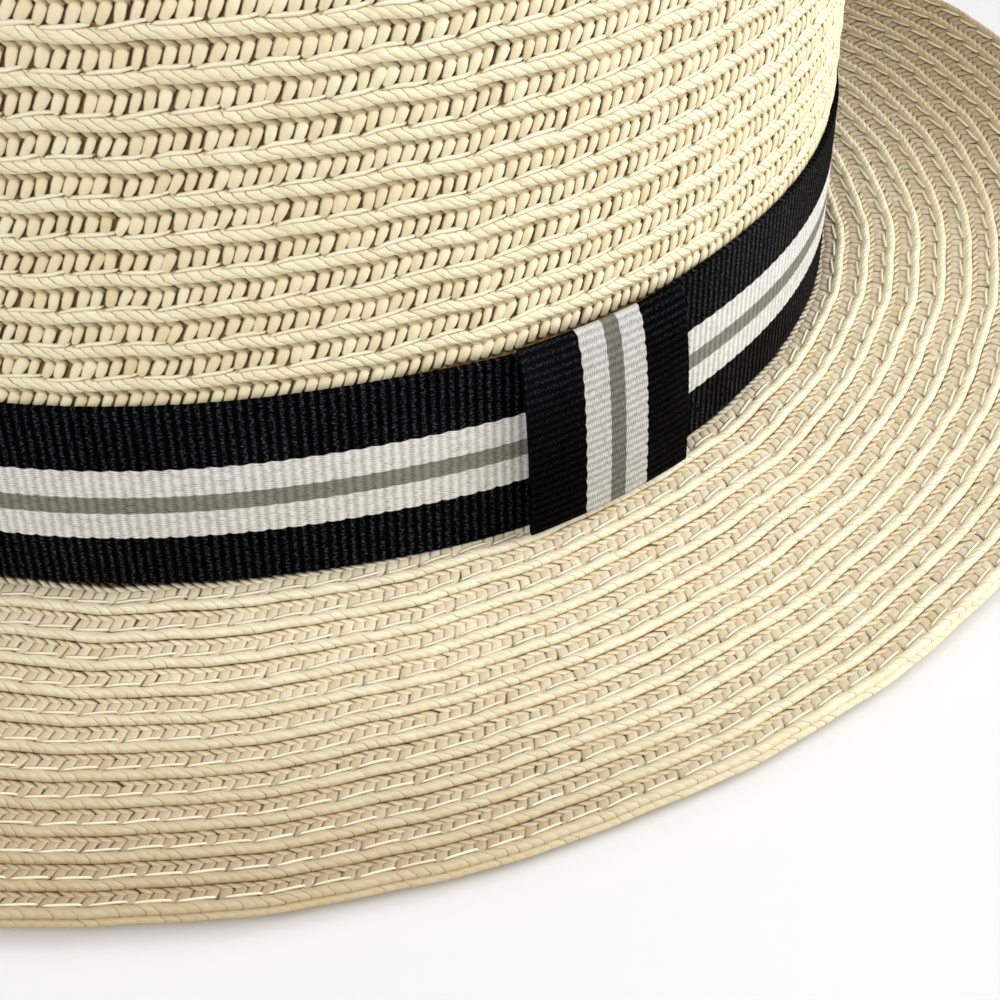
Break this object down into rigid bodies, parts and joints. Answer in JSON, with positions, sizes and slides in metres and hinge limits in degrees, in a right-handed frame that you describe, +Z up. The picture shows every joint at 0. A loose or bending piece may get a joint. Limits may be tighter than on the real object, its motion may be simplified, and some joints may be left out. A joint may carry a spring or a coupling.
{
  "type": "straw fedora hat",
  "caption": "Short-brimmed fedora of sewn straw braid with a creased and pinched crown, a striped ribbon band and a flat ribbon loop on the wearer's left.",
  "frame": {"origin": "bottom centre of the hat's box, on the surface that the brim rests on", "axes": "+Z up, -Y towards the front of the hat, +X towards the wearer's left"},
  "size_m": [0.2802, 0.3135, 0.1133],
  "materials": {
    "straw": "natural pale straw braid, satin",
    "ribbon": "striped grosgrain, black with white and grey stripes"
  },
  "bodies": {
    "root": {"crown": "straw", "brim": "straw", "ribbon_band": "ribbon", "ribbon_loop": "ribbon"}
  },
  "joints": []
}
